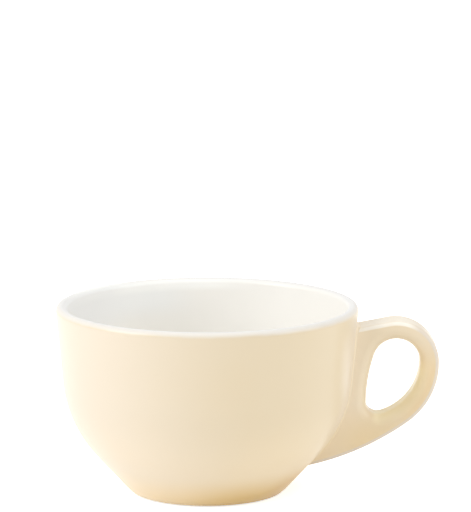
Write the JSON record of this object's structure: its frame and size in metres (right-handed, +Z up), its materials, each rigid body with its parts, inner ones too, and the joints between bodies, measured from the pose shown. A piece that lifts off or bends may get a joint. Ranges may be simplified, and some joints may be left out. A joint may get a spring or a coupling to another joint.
{
  "type": "latte cup",
  "caption": "Wide ceramic latte cup with a rounded belly, a bare foot ring, a white-glazed inside, a cream-glazed outside and a flat-sided ear handle with an egg-shaped finger hole.",
  "frame": {"origin": "on the table, in the middle of the foot ring, on the axis of the bowl", "axes": "+Z up along the axis of the bowl, +X from the axis out through the handle"},
  "size_m": [0.1291, 0.102, 0.064],
  "materials": {
    "clay": "bare fired clay, smooth and matt",
    "slip": "fired slip, matt",
    "white_glaze": "glossy white glaze",
    "cream_glaze": "glossy cream glaze"
  },
  "bodies": {
    "root": {"bowl_body": "clay", "handle_core": "clay", "handle_slip": "slip", "lining_glaze": "white_glaze", "outer_glaze": "cream_glaze", "handle_glaze": "cream_glaze", "base_glaze": "cream_glaze"}
  },
  "joints": []
}
